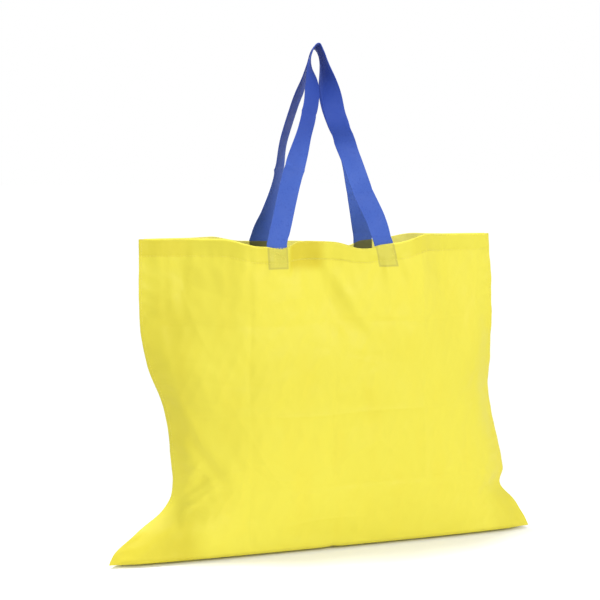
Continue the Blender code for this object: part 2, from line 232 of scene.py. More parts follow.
def fold_marks(x, z, seed):
    """The grid of creases, each a sharp ridge or valley that fades in and out along its length."""
    rng = np.random.default_rng(seed)
    total = np.zeros_like(x)
    for line, sign in zip(FOLD_LINES_X, (-1, -1, 1)):
        wander = 0.0015 * np.sin(z * 37 + line * 90)
        strength = 0.0011 + 0.0005 * np.sin(z * 29 + rng.random() * 6)
        total += sign * strength * np.exp(-np.abs(x - line - wander) / FOLD_WIDTH)
    for line, sign in zip(FOLD_LINES_Z, (-1, 1, -1)):
        wander = 0.0015 * np.sin(x * 31 + line * 70)
        strength = 0.0011 + 0.0005 * np.sin(x * 23 + rng.random() * 6)
        total += sign * strength * np.exp(-np.abs(z - line - wander) / FOLD_WIDTH)
    return total


def cells(facing, x, z):
    """Each field between the creases bows a little, in or out."""
    edges_x, edges_z = (-0.225, *FOLD_LINES_X, 0.235), (0.0, *FOLD_LINES_Z, BODY_HEIGHT)
    total = np.zeros_like(x)
    for row, (z0, z1) in zip(CELL_BOWS, zip(edges_z, edges_z[1:])):
        for bow, (x0, x1) in zip(row[::-facing], zip(edges_x, edges_x[1:])):
            across = np.sin(math.pi * np.clip((x - x0) / (x1 - x0), 0, 1)) ** 2
            up = np.sin(math.pi * np.clip((z - z0) / (z1 - z0), 0, 1)) ** 2
            total += bow * across * up
    return total


def star(x, z, centre, reach, seed, rays, height):
    """Creases that run out from a point where the cloth is gathered."""
    rng = np.random.default_rng(seed)
    dx, dz = x - centre[0], z - centre[1]
    away, angle = np.hypot(dx, dz), np.arctan2(dz, dx)
    total = np.zeros_like(x)
    for ray in rays:
        turn = ray * angle + rng.random() * 6.28 + 9 * away / reach * (rng.random() - 0.5)
        total += 1 - 2 * np.abs(np.sin(turn / 2)) ** 0.8
    return height * total / len(rays) * np.exp(-away / reach) * smooth(0.0, 0.25 * reach, away)


def small_creases(x, z, seed, count):
    """Short sharp creases scattered over the cloth, as thin polyester keeps them."""
    rng = np.random.default_rng(seed)
    total = np.zeros_like(x)
    for _ in range(count):
        x0, z0 = rng.uniform(-0.21, 0.22), rng.uniform(0.03, 0.34)
        angle, length = rng.uniform(0, math.pi), rng.uniform(0.015, 0.060)
        height, width = rng.choice((-1, 1)) * rng.uniform(0.00025, 0.0006), rng.uniform(0.0012, 0.0030)
        ahead = (x - x0) * math.cos(angle) + (z - z0) * math.sin(angle)
        aside = (z - z0) * math.cos(angle) - (x - x0) * math.sin(angle) + 2.0 * ahead**2
        total += height * np.exp(-np.abs(aside) / width - (ahead / length) ** 4)
    return total


# Folds of the front panel: from and to (x, height), how far they stand out, and half their width.
# First the fuller cloth at the upper left and the slack below the mouth, then the pulls from the strap ends
# and the crumples above the two corners.
FRONT_FOLDS = (
    ((-0.158, 0.390), (-0.158, 0.300), 0.0050, 0.0300),
    ((-0.042, 0.366), (0.019, 0.273), -0.0066, 0.0210),
    ((-0.018, 0.366), (0.040, 0.278), 0.0020, 0.0070),
    ((0.006, 0.266), (0.034, 0.246), 0.0016, 0.0070),
    ((0.058, 0.350), (0.036, 0.290), -0.0014, 0.0070),
    ((0.070, 0.344), (0.074, 0.286), 0.0014, 0.0065),
    ((0.082, 0.350), (0.112, 0.292), -0.0016, 0.0075),
    ((0.092, 0.352), (0.100, 0.318), 0.0012, 0.0060),
    ((0.098, 0.354), (0.158, 0.318), 0.0012, 0.0080),
    ((-0.080, 0.350), (-0.100, 0.300), 0.0012, 0.0085),
    ((-0.060, 0.346), (-0.056, 0.298), -0.0009, 0.0080),
    ((-0.190, 0.190), (-0.126, 0.100), 0.0020, 0.0090),
    ((-0.186, 0.158), (-0.136, 0.092), -0.0016, 0.0070),
    ((-0.196, 0.074), (-0.166, 0.110), 0.0022, 0.0040),
    ((-0.188, 0.066), (-0.156, 0.096), -0.0020, 0.0038),
    ((-0.200, 0.090), (-0.184, 0.128), 0.0018, 0.0040),
    ((-0.180, 0.060), (-0.146, 0.084), 0.0016, 0.0040),
    ((0.238, 0.070), (0.186, 0.056), 0.0012, 0.0055),
    ((0.236, 0.060), (0.206, 0.038), -0.0010, 0.0050),
)


def relief(facing, x, z):
    """How far the cloth stands out from its even shape."""
    seed = FRONT_SEED if facing < 0 else BACK_SEED
    total = fold_marks(x, z, seed) + cells(facing, x, z)
    total += 0.0012 * waves(x, z, seed + 1, 12, 0.16, 0.06)
    total += 0.00030 * waves(x, z, seed + 2, 22, 0.035, 0.012)
    total += 0.0007 * waves(x * 1.8, z * 0.5, seed + 7, 10, 0.06, 0.03) * smooth(0.25, 0.34, z)
    total += small_creases(x, z, seed + 9, 90)
    for side, rays, height in ((-1, (5, 9, 13), 0.0045), (1, (4, 7), 0.0030)):
        centre = (float(seam_x(side, PINCH_HEIGHT + 0.012)) - side * 0.006, PINCH_HEIGHT + 0.008)
        total += star(x, z, centre, 0.045, seed + 3, rays, height) * smooth(0.035, 0.07, z)
        foot = (side * STRAP_SPACING / 2, MOUTH_EDGE - HEM_HEIGHT)
        total += star(x, z, foot, 0.050, seed + 5 + side, (3, 6), 0.0012)
    if facing < 0:
        for start, end, height, width in FRONT_FOLDS:
            total += height * near_line(x, z, start, end, width)
        turned_back = np.maximum(0.0, FOLD_LINES_X[0] - x)
        total -= 0.045 * turned_back * smooth(0.12, 0.18, z) * smooth(0.315, 0.265, z)
    beside = np.abs(np.abs(x) - STRAP_SPACING / 2)
    over_strap = (1 - smooth(STRAP_WIDTH / 2, STRAP_WIDTH / 2 + 0.008, beside)) * smooth(0.325, 0.345, z)
    total = total * (1 - over_strap) + np.maximum(total, -0.0006) * over_strap
    if facing > 0:
        under_band = (1 - smooth(0.018, 0.030, np.abs(x))) * smooth(0.315, 0.335, z)
        total = total * (1 - under_band) - 0.0002 * under_band
    return total


def mouth_wave(facing, x):
    return along(FRONT_WAVE if facing < 0 else BACK_WAVE, x)


def hem_line(facing, x):
    return top_height(x) - HEM_HEIGHT + 0.48 * mouth_wave(facing, x)


def sewn_x(word, side, height):
    """The middle of a sewn strap end: it is a little out of true, as its leg leans."""
    return side * STRAP_SPACING / 2 + STRAP_LEANS.get((word, side), 0.0) * (height - STRAP_END_MIDDLE)


def strap_bulge(facing, x, z):
    """1 where a strap end lies under the hem."""
    word = "front" if facing < 0 else "rear"
    beside = np.minimum(*(np.abs(x - sewn_x(word, side, z)) for side in (-1, 1)))
    return 1 - smooth(STRAP_WIDTH / 2 + 0.0008, STRAP_WIDTH / 2 + 0.0050, beside)


def seam_wave(height):
    """The sewn edge wavers a little from front to back."""
    return 0.0005 * np.sin(height / 0.0091) + 0.00035 * np.sin(height / 0.0033 + 1)


def panel_points(facing, across, up):
    """Points on a panel's outside, for arrays of across (-1 to 1) and up (0 to 1)."""
    level = up * BODY_HEIGHT
    side = np.where(across < 0, -1.0, 1.0)
    share = np.abs(across)
    x = (seam_x(side, level) - side * EDGE_STEP) * share
    depth = facing * along(FRONT_DEPTH if facing < 0 else BACK_DEPTH, level)
    gap = LAYER_GAP + SEAM_HALF_GAP * (1 - smooth(0.88, 0.972, share))
    y = depth + (seam_y(level) + facing * gap - depth) * fullness(share, level)
    y += seam_wave(level) * smooth(0.90, 0.98, share)
    z = level * top_height(x) / BODY_HEIGHT
    z = z + mouth_wave(facing, x) * smooth(0.335, 0.372, z)
    loose = (1 - smooth(0.84, 0.972, share)) * smooth(0.0, 0.022, z)
    loose *= 1 - 0.55 * smooth(0.345, 0.372, z)
    by_seam = smooth(0.88, 0.95, share) * smooth(0.985, 0.965, share)
    pucker = 0.0006 * np.sin(z / 0.0036 + 2 * np.sin(z * 60)) * by_seam
    out = relief(facing, x, z) * loose + pucker
    seam_row = (z - hem_line(facing, x)) / 0.0011
    out += 0.00030 * smooth(-0.5, 1.5, seam_row) - 0.00022 * np.exp(-(seam_row**2))
    gathers = 0.00030 * np.sin(x / 0.0021 + 2.5 * np.sin(x * 45))
    out += gathers * np.exp(-np.abs(z - hem_line(facing, x)) / 0.006) * (1 - smooth(0.93, 0.97, share))
    out -= 0.0022 * (1 - smooth(0.0, 0.006, z)) ** 2 * (1 - smooth(0.9, 0.98, share))
    lift = EDGE_LIFT + 0.0016 * np.exp(-np.abs(x) / 0.005)
    return x, y + facing * out, z + lift * (1 - smooth(0.0, 0.03, z))


# ---- making meshes ----
def linked(name, mesh, *looks):
    made = bpy.data.objects.new(name, mesh)
    for look in looks:
        mesh.materials.append(look)
    bpy.context.scene.collection.objects.link(made)
    return made


def grid_mesh(name, points, wrap=False):
    """A mesh over a grid of points, shaped (rows, columns, 3)."""
    rows, count = points.shape[:2]
    index = np.arange(rows * count).reshape(rows, count)
    right = np.roll(index, -1, axis=1) if wrap else index[:, 1:]
    left = index if wrap else index[:, :-1]
    faces = np.stack([left[:-1], right[:-1], right[1:], left[1:]], axis=-1).reshape(-1, 4)
    mesh = bpy.data.meshes.new(name)
    mesh.from_pydata(points.reshape(-1, 3).tolist(), [], faces.tolist())
    mesh.shade_smooth()
    return mesh


def thicken(piece, inward):
    """Gives a sheet the cloth's thickness, on one side of its faces or the other."""
    made = piece.modifiers.new("Thickness", "SOLIDIFY")
    made.thickness = CLOTH
    made.offset = -1 if inward else 1
    graph = bpy.context.evaluated_depsgraph_get()
    mesh = bpy.data.meshes.new_from_object(piece.evaluated_get(graph))
    piece.modifiers.clear()
    old, piece.data = piece.data, mesh
    bpy.data.meshes.remove(old)


def settle(piece, node, body):
    """Puts a piece in the place of a CAD node, on its body."""
    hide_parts(node)
    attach(piece, body)


def settle_cloth(piece, node):
    """Puts a piece in the place of a CAD node that comes together as the bag is pressed flat."""
    settle(piece, node, "bag")
    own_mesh(piece)


# ---- materials ----
class Look:
    """A node material with one Principled shader, built up a step at a time."""

    def __init__(self, name, colour, roughness, **settings):
        self.material = bpy.data.materials.new(name)
        self.material.use_nodes = True
        self.nodes = self.material.node_tree.nodes
        self.links = self.material.node_tree.links
        self.shader = self.nodes["Principled BSDF"]
        self.shader.inputs["Base Color"].default_value = (*colour, 1)
        self.shader.inputs["Roughness"].default_value = roughness
        for socket, value in settings.items():
            self.shader.inputs[socket.replace("_", " ")].default_value = value
        coordinates = self.nodes.new("ShaderNodeTexCoord")
        self.place = coordinates.outputs["Object"]
        self.colour = None
        self.height = None

    def math(self, operation, first, second=0.0):
        node = self.nodes.new("ShaderNodeMath")
        node.operation = operation
        for socket, value in zip(node.inputs, (first, second)):
            if isinstance(value, (int, float)):
                socket.default_value = value
            else:
                self.links.new(value, socket)
        return node.outputs[0]

    def product(self, result, *others):
        for other in others:
            result = self.math("MULTIPLY", result, other)
        return result

    def axes(self):
        node = self.nodes.new("ShaderNodeSeparateXYZ")
        self.links.new(self.place, node.inputs[0])
        return node.outputs

    def noise(self, scale, detail=2.0, stretch=(1, 1, 1)):
        mapping = self.nodes.new("ShaderNodeMapping")
        mapping.inputs["Scale"].default_value = stretch
        self.links.new(self.place, mapping.inputs["Vector"])
        node = self.nodes.new("ShaderNodeTexNoise")
        node.inputs["Scale"].default_value = scale
        node.inputs["Detail"].default_value = detail
        self.links.new(mapping.outputs[0], node.inputs["Vector"])
        return node.outputs["Fac"]

    def ramp(self, value, low, high, to_low=0.0, to_high=1.0):
        node = self.nodes.new("ShaderNodeMapRange")
        node.interpolation_type = "SMOOTHSTEP"
        self.links.new(value, node.inputs["Value"])
        sockets = ("From Min", "From Max", "To Min", "To Max")
        for socket, number in zip(sockets, (low, high, to_low, to_high)):
            node.inputs[socket].default_value = number
        return node.outputs[0]

    def tint(self, colour, share):
        """Mixes another colour over what is there, by a share from 0 to 1."""
        node = self.nodes.new("ShaderNodeMix")
        node.data_type = "RGBA"
        base = self.colour or tuple(self.shader.inputs["Base Color"].default_value)
        for index, value in ((6, base), (7, (*colour, 1)), (0, share)):
            socket = node.inputs[index]
            if isinstance(value, bpy.types.NodeSocket):
                self.links.new(value, socket)
            else:
                socket.default_value = value
        self.colour = node.outputs[2]

    def threads(self, axis, pitch):
        """Rounded threads side by side along an axis, from 0 to 1."""
        turns = self.product(self.axes()[axis], math.pi / pitch)
        return self.math("ABSOLUTE", self.math("SINE", turns))

    def raise_by(self, value, share):
        part = self.product(value, share)
        self.height = part if self.height is None else self.math("ADD", self.height, part)

    def rough(self, value, low, high):
        self.links.new(self.ramp(value, 0.3, 0.7, low, high), self.shader.inputs["Roughness"])

    def finish(self, depth=0.0, through=0.0):
        """Joins colour and bump to the shader, and lets a share of the light through a thin cloth."""
        self.links.new(self.colour, self.shader.inputs["Base Color"])
        if depth:
            bump = self.nodes.new("ShaderNodeBump")
            bump.inputs["Distance"].default_value = depth
            self.links.new(self.height, bump.inputs["Height"])
            self.links.new(bump.outputs[0], self.shader.inputs["Normal"])
        if through:
            shine = self.nodes.new("ShaderNodeBsdfTranslucent")
            self.links.new(self.colour, shine.inputs["Color"])
            self.links.new(bump.outputs[0], shine.inputs["Normal"])
            mix = self.nodes.new("ShaderNodeMixShader")
            mix.inputs[0].default_value = through
            self.links.new(self.shader.outputs[0], mix.inputs[1])
            self.links.new(shine.outputs[0], mix.inputs[2])
            self.links.new(mix.outputs[0], self.nodes["Material Output"].inputs["Surface"])
        return self.material


YELLOW = (0.770, 0.700, 0.064)
YELLOW_DEEP = (0.710, 0.610, 0.036)
YELLOW_WARM = (0.770, 0.655, 0.045)
STRAP_THROUGH = (0.560, 0.520, 0.095)
# painted shade on the hem
HEM_PAINTED_SHADE = (0.660, 0.540, 0.022)
# painted shade on the left flank and the lower corners
CORNER_PAINTED_SHADE = (0.640, 0.550, 0.028)
# painted light on the panels' upper part
UPPER_PAINTED_LIGHT = (0.850, 0.780, 0.090)
# painted light on the hem's inner layer
HEM_PAINTED_LIGHT = (0.950, 0.900, 0.240)
FOOT_SHADE = (0.030, 0.040, 0.015)
STRAP_OUTLINE = (0.420, 0.360, 0.060)
BLUE = (0.040, 0.095, 0.400)
BLUE_LIGHT = (0.060, 0.130, 0.480)
BLUE_DARK = (0.014, 0.044, 0.290)
ELASTIC_BLUE = (0.004, 0.085, 0.560)
ELASTIC_LIGHT = (0.010, 0.130, 0.660)
# painted shade in the elastic's grooves
ELASTIC_GROOVE_SHADE = (0.002, 0.050, 0.360)
THREAD_YELLOW = (0.76, 0.67, 0.08)
FLOOR = (0.86, 0.86, 0.86)
BLACK = (0.0, 0.0, 0.0)
WEAVE_PITCH, WEAVE_DEPTH = 0.00055, 0.00006
WEBBING_PITCH, WEBBING_DEPTH = 0.0007, 0.00012
ELASTIC_RIBS, ELASTIC_WEFT, ELASTIC_DEPTH = 0.0022, 0.0006, 0.00025
THREAD_DEPTH = 0.0001


def cloth_look(name, colour, deeper, level_axis=2):
    """Thin plain-woven polyester: fine threads both ways, uneven tone, and a little light through it."""
    look = Look(name, colour, 0.50, Sheen_Weight=0.12, Sheen_Roughness=0.4, Specular_IOR_Level=0.35)
    look.tint(deeper, look.ramp(look.noise(9.0, 3.0), 0.35, 0.75, 0.0, 0.16))
    look.tint(YELLOW_WARM, look.ramp(look.noise(34.0, 2.0, (1, 1, 0.35)), 0.45, 0.80, 0.0, 0.25))
    look.raise_by(look.threads(0, WEAVE_PITCH), 0.5)
    look.raise_by(look.threads(level_axis, WEAVE_PITCH), 0.5)
    look.raise_by(look.noise(260.0, 3.0, (1, 1, 0.2)), 0.9)
    look.rough(look.noise(40.0), 0.44, 0.56)
    return look


def on_front(look):
    """1 on the front half of the bag and 0 on the back half."""
    return look.ramp(look.axes()[1], -0.001, 0.001, 1.0, 0.0)


def show_straps(look):
    """The strap ends seen through the cloth, each as a dull patch with a darker outline."""
    x, y, z = look.axes()
    half, low = STRAP_WIDTH / 2, STRAP_END_MIDDLE - STRAP_END_DEPTH / 2
    for word, side in (("front", -1), ("front", 1), ("rear", -1), ("rear", 1)):
        here = on_front(look) if word == "front" else look.ramp(y, -0.001, 0.001)
        above_middle = look.math("SUBTRACT", z, STRAP_END_MIDDLE)
        lean = look.product(above_middle, STRAP_LEANS.get((word, side), 0.0))
        strap_middle = look.math("ADD", lean, side * STRAP_SPACING / 2)
        from_strap = look.math("ABSOLUTE", look.math("SUBTRACT", x, strap_middle))
        beside = look.ramp(from_strap, half - 0.0006, half + 0.0006, 1.0, 0.0)
        above = look.ramp(z, low - 0.0006, low + 0.0006)
        edge = look.ramp(from_strap, half - 0.0030, half - 0.0014, 0.0, 0.35)
        foot = look.ramp(z, low + 0.0014, low + 0.0030, 0.35, 0.0)
        patch = look.product(beside, above, here)
        look.tint(STRAP_THROUGH, look.product(patch, 0.50))
        look.tint(STRAP_OUTLINE, look.product(patch, look.math("MAXIMUM", edge, foot)))


def paint_shade_beside_strap(look):
    """Painted shade where the hem bunches up beside the front's left strap."""
    x, _, z = look.axes()
    from_left, from_right = look.ramp(x, -0.056, -0.050), look.ramp(x, -0.020, -0.006, 1.0, 0.0)
    above = look.ramp(z, 0.338, 0.352)
    # Painted shade in the bunched hem.
    look.tint(HEM_PAINTED_SHADE, look.product(from_left, from_right, above, on_front(look), 0.75))


def panel_look():
    """The panels' cloth: painted light at the top, painted shade at the left flank and both corners."""
    look = cloth_look("yellow_cloth", YELLOW, YELLOW_DEEP)
    x, _, z = look.axes()
    # Painted light: a paler colour over the upper part of the panels.
    look.tint(UPPER_PAINTED_LIGHT, look.product(look.ramp(z, 0.20, 0.31), look.ramp(x, -0.175, -0.150), 0.25))
    # Painted shade: a deeper colour over the left flank and the two lower corners.
    low = look.ramp(z, 0.075, 0.020)
    flank = look.product(look.ramp(z, 0.10, 0.15), look.ramp(z, 0.33, 0.28))
    flank = look.product(flank, look.ramp(x, -0.145, -0.185, 0.0, 0.35))
    left = look.math("MAXIMUM", flank, look.product(low, look.ramp(x, -0.150, -0.185)))
    right = look.product(low, look.ramp(x, 0.205, 0.235, 0.0, 0.45))
    look.tint(CORNER_PAINTED_SHADE, look.product(look.math("MAXIMUM", left, right), 0.85))
    paint_shade_beside_strap(look)
    show_straps(look)
    return look.finish(WEAVE_DEPTH, 0.22)


def hem_look():
    """The same cloth where it lies double, with painted shade at the front's left end and past its right
    strap.
    """
    look = cloth_look("yellow_hem", YELLOW, YELLOW_DEEP)
    x, _, _ = look.axes()
    # Painted shade at the front's left end and past its right strap.
    left_end = look.ramp(x, -0.185, -0.150, 0.85, 0.0)
    right_part = look.product(look.ramp(x, 0.098, 0.108, 0.0, 0.4), look.ramp(x, 0.122, 0.140, 1.0, 0.1))
    share = look.math("MAXIMUM", left_end, right_part)
    look.tint(HEM_PAINTED_SHADE, look.product(share, on_front(look), 0.45))
    paint_shade_beside_strap(look)
    show_straps(look)
    return look.finish(WEAVE_DEPTH, 0.22)


def hem_inside_look():
    """The hem's rolled edge and inner layer: painted light at the back, less of it at the front, and
    painted shade where a rear strap goes in.
    """
    # Painted light: the pale colour stands in for light on the inner layer; the front keeps only a little
    # of it.
    look = cloth_look("yellow_hem_inside", HEM_PAINTED_LIGHT, YELLOW)
    x, y, _ = look.axes()
    look.tint(YELLOW, look.ramp(y, -0.001, 0.001, 0.80, 0.0))
    from_strap = look.math("ABSOLUTE", look.math("SUBTRACT", look.math("ABSOLUTE", x), STRAP_SPACING / 2))
    beside = look.ramp(from_strap, STRAP_WIDTH / 2 - 0.0010, STRAP_WIDTH / 2 + 0.0010, 1.0, 0.0)
    rear = look.ramp(y, 0.030, 0.036)
    # Painted shade over the strap seen through the cloth, where a rear strap goes into the hem.
    look.tint(FOOT_SHADE, look.product(beside, rear, 0.9))
    return look.finish(WEAVE_DEPTH, 0.20)


def base_look():
    return cloth_look("yellow_base", YELLOW, YELLOW_DEEP, level_axis=1).finish(WEAVE_DEPTH, 0.15)


def thread_look():
    look = Look("thread", THREAD_YELLOW, 0.6, Sheen_Weight=0.3)
    look.tint(YELLOW_DEEP, look.ramp(look.noise(900.0), 0.3, 0.7, 0.0, 0.5))
    look.raise_by(look.noise(2500.0), 1.0)
    return look.finish(THREAD_DEPTH)


def webbing_look():
    """A flat woven strap: fine ribs across it and an uneven blue, with painted shade towards the top."""
    look = Look("blue_webbing", BLUE, 0.66, Sheen_Weight=0.10, Specular_IOR_Level=0.25)
    look.tint(BLUE_LIGHT, look.ramp(look.noise(22.0, 3.0, (1, 1, 0.5)), 0.40, 0.70, 0.0, 0.55))
    look.tint(BLUE_DARK, look.ramp(look.noise(420.0, 2.0), 0.52, 0.75, 0.0, 0.35))
    _, _, height = look.axes()
    # Painted shade: darker towards the top of the handles.
    look.tint(BLUE_DARK, look.product(look.ramp(height, 0.445, 0.530), 0.80))
    look.raise_by(look.threads(2, WEBBING_PITCH), 0.6)
    look.raise_by(look.noise(700.0, 2.0), 0.8)
    look.rough(look.noise(60.0), 0.55, 0.70)
    return look.finish(WEBBING_DEPTH)


def elastic_look():
    """Woven elastic: upright ribs crossed by fine weft, with painted shade in the grooves between the ribs.
    """
    look = Look("blue_elastic", ELASTIC_BLUE, 0.55, Sheen_Weight=0.25, Sheen_Roughness=0.35)
    look.tint(ELASTIC_LIGHT, look.ramp(look.noise(30.0), 0.35, 0.70, 0.0, 0.5))
    # Painted shade in the grooves between the ribs.
    look.tint(ELASTIC_GROOVE_SHADE, look.ramp(look.threads(0, ELASTIC_RIBS), 0.0, 0.35, 0.55, 0.0))
    look.raise_by(look.threads(0, ELASTIC_RIBS), 1.0)
    look.raise_by(look.threads(2, ELASTIC_WEFT), 0.35)
    return look.finish(ELASTIC_DEPTH)


def floor_look():
    """A pale floor that turns into plain white light away from the bag."""
    look = Look("floor", FLOOR, 0.8, Specular_IOR_Level=0.2)
    x, y, _ = look.axes()
    across = look.product(x, 0.62)
    away = look.math("SQRT", look.math("ADD", look.product(across, across), look.product(y, y)))
    glow = look.ramp(away, 0.16, 0.34)
    look.tint(BLACK, glow)
    look.shader.inputs["Emission Color"].default_value = (1, 1, 1, 1)
    look.links.new(glow, look.shader.inputs["Emission Strength"])
    return look.finish()


# ---- cloth pieces ----
def spread(count):
    """Places across a panel from -1 to 1, closer together towards the seams."""
    even = np.linspace(-1, 1, count)
    return np.sign(even) * (1 - (1 - np.abs(even)) ** 1.35)


def add_panel(word, facing, look, over_hem):
    rows = np.linspace(0, 1, ROWS) ** 1.15  # closer together at the corner tucks
    points = np.stack(panel_points(facing, *np.meshgrid(spread(COLUMNS), rows)), axis=-1)
    mesh = grid_mesh(f"{word}_cloth", points)
    piece = linked(f"{word}_cloth", mesh, look, over_hem)
    centre = points[:-1, :-1] * 0.5 + points[1:, 1:] * 0.5
    in_hem = (centre[..., 2] > hem_line(facing, centre[..., 0])).ravel()
    mesh.polygons.foreach_set("material_index", in_hem.astype(np.int32))
    thicken(piece, facing < 0)
    settle_cloth(piece, f"{word}_panel")


def hem_section(facing, across):
    """Rows of points of the hem: over the mouth's edge and down the inside, round the strap ends."""

    def width(bulge):
        round_strap = np.abs(y) - (STRAP_OUTSIDE - STRAP - HEM_LAYERS)
        return HEM_LAYERS + np.maximum(0.0, round_strap - HEM_LAYERS) * bulge

    x, y, z = panel_points(facing, across, np.ones_like(across))
    top_width = width(strap_bulge(facing, x, z))
    rows = []
    for angle in np.linspace(0, math.pi, 9):
        reach = top_width * (1 - math.cos(angle)) / 2
        rows.append(np.stack([x, y - facing * reach, z + 0.0008 * math.sin(angle) - 0.0004], axis=-1))
    for down in np.linspace(0.1, 1.0, 12):
        up = 1 - down * (HEM_HEIGHT - 0.001) / BODY_HEIGHT
        x, y, z = panel_points(facing, across, np.full_like(across, up))
        bulge = strap_bulge(facing, x, z)
        sewn = 1 - 0.55 * smooth(0.80, 1.0, down) * (1 - bulge)
        rows.append(np.stack([x, y - facing * width(bulge) * sewn, z - 0.0004], axis=-1))
    return np.stack(rows)


def add_hem(word, facing, look):
    mesh = grid_mesh(f"{word}_hem_fold", hem_section(facing, spread(COLUMNS) * 0.975))
    piece = linked(f"{word}_hem_fold", mesh, look)
    thicken(piece, facing < 0)
    settle_cloth(piece, f"{word}_hem")


def stitch_mesh(name, lines):
    """Short threads along lines, each line as two arrays: its places and the ways out of the cloth."""
    made = bmesh.new()
    for points, outward in lines:
        steps = np.linalg.norm(np.diff(points, axis=0), axis=1)
        length = np.concatenate([[0.0], np.cumsum(steps)])
        count = max(1, int(length[-1] / STITCH_PITCH))
        for number in range(count):
            middle = (number + 0.5) * length[-1] / count
            ring_points = []
            for end in (-0.5, -0.3, 0.0, 0.3, 0.5):
                at = middle + end * STITCH
                place = np.array([np.interp(at, length, points[:, k]) for k in range(3)])
                out = np.array([np.interp(at, length, outward[:, k]) for k in range(3)])
                ring_points.append((place, out, 0.35 if abs(end) == 0.5 else 1.0))
            ahead = ring_points[-1][0] - ring_points[0][0]
            ahead /= np.linalg.norm(ahead)
            rings = []
            for place, out, width in ring_points:
                aside = np.cross(ahead, out)
                ring = []
                for corner in range(6):
                    angle = corner * math.pi / 3
                    offset = aside * math.cos(angle) + out * math.sin(angle)
                    lift = out * STITCH_RADIUS * (0.1 if width < 1 else 0.5)
                    ring.append(made.verts.new(place + lift + offset * STITCH_RADIUS * width))
                rings.append(ring)
            for ring, following in zip(rings, rings[1:]):
                for corner in range(6):
                    nxt = (corner + 1) % 6
                    made.faces.new((ring[corner], ring[nxt], following[nxt], following[corner]))
            made.faces.new(rings[0])
            made.faces.new(rings[-1])
    bmesh.ops.recalc_face_normals(made, faces=made.faces)
    mesh = bpy.data.meshes.new(name)
    made.to_mesh(mesh)
    made.free()
    mesh.shade_smooth()
    return mesh


def facing_out(points, facing):
    return np.tile(np.array([0.0, float(facing), 0.0]), (len(points), 1))


def add_hem_stitches(word, facing, look):
    across = np.linspace(-0.985, 0.985, 400)
    lines = []
    for rise, inside in ((0.0, 0.0), (0.0, HEM_LAYERS * 0.5 + CLOTH)):
        up = 1 - (HEM_HEIGHT - rise) / BODY_HEIGHT
        points = np.stack(panel_points(facing, across, np.full_like(across, up)), axis=-1)
        points[:, 1] -= facing * inside
        lines.append((points, facing_out(points, -facing if inside else facing)))
    piece = linked(f"{word}_hem_stitches", stitch_mesh(f"{word}_hem_stitches", lines), look)
    settle_cloth(piece, f"{word}_hem_stitching")


def seam_section(side, heights):
    """Closed rings of the folded seam allowance between the two panels, rounded along its outer edge."""
    outline = [(1.0, 0.9), (0.6, 1.0), (0.2, 1.0), (0.08, 1.15), (0.02, 0.8), (0.0, 0.0)]
    outline += [(px, -py) for px, py in reversed(outline[:-1])]
    rings = []
    for height in heights:
        edge = float(seam_x(side, height)) + side * 0.0002 * math.sin(height / 0.0083)
        y = float(seam_y(height) + seam_wave(height))
        level = height + EDGE_LIFT * (1 - float(smooth(0.0, 0.03, height)))
        rings.append([(edge - side * px * SEAM_FLANGE, y + py * LAYER_GAP, level) for px, py in outline])
    return np.array(rings)


def capped(mesh_points, name):
    """A tube through closed rings, with its two ends closed."""
    mesh = grid_mesh(name, mesh_points, wrap=True)
    made = bmesh.new()
    made.from_mesh(mesh)
    made.verts.ensure_lookup_table()
    count = mesh_points.shape[1]
    made.faces.new([made.verts[k] for k in range(count)])
    made.faces.new([made.verts[k] for k in range(len(made.verts) - count, len(made.verts))])
    bmesh.ops.recalc_face_normals(made, faces=made.faces)
    made.to_mesh(mesh)
    made.free()
    mesh.shade_smooth()
    mesh.set_sharp_from_angle(angle=math.radians(50))
    return mesh


def add_seam(word, side, look):
    for name, node, low, high in (
        (f"{word}_seam_edge", f"{word}_side_seam", PINCH_HEIGHT, top_height(0.2)),
        (f"{word}_corner_fold", f"{word}_corner_tuck", 0.0, PINCH_HEIGHT + 0.0004),
    ):
        steps = int((high - low) / 0.0022)
        piece = linked(name, capped(seam_section(side, np.linspace(low, high, steps)), name), look)
        settle_cloth(piece, node)


def add_seam_stitches(word, side, look):
    heights = np.linspace(PINCH_HEIGHT + 0.004, BODY_HEIGHT - 0.004, 300)
    half = np.abs(seam_x(side, heights))
    across = side * (half - SEAM_FLANGE * 0.5) / (half - EDGE_STEP)
    lines = []
    for facing in (-1, 1):
        points = np.stack(panel_points(facing, across, heights / BODY_HEIGHT), axis=-1)
        lines.append((points, facing_out(points, facing)))
    piece = linked(f"{word}_seam_stitches", stitch_mesh(f"{word}_seam_stitches", lines), look)
    settle_cloth(piece, f"{word}_seam_stitching")


def add_base(look):
    """The bottom, between the lower edges of the two panels, with the soft line of its middle fold."""
    across = spread(COLUMNS) * 0.992
    edges = []
    for facing in (-1, 1):
        x, y, z = panel_points(facing, across, np.zeros_like(across))
        edges.append(np.stack([x, y - facing * CLOTH, z], axis=-1))
    rows = []
    for share in np.linspace(0, 1, 60):
        row = edges[0] * (1 - share) + edges[1] * share
        inner = smooth(0.0015, 0.020, min(share, 1 - share) * np.abs(edges[1][:, 1] - edges[0][:, 1]))
        level = 0.0005 + 0.0004 * waves(row[:, 0], row[:, 1], 5, 10, 0.09, 0.03)
        level += 0.0012 * math.exp(-abs(share - 0.5) / 0.05)
        row[:, 2] += (np.maximum(level, 0.0003) - row[:, 2]) * inner
        rows.append(row)
    piece = linked("base_cloth", grid_mesh("base_cloth", np.stack(rows)), look)
    thicken(piece, False)
    settle_cloth(piece, "base_panel")


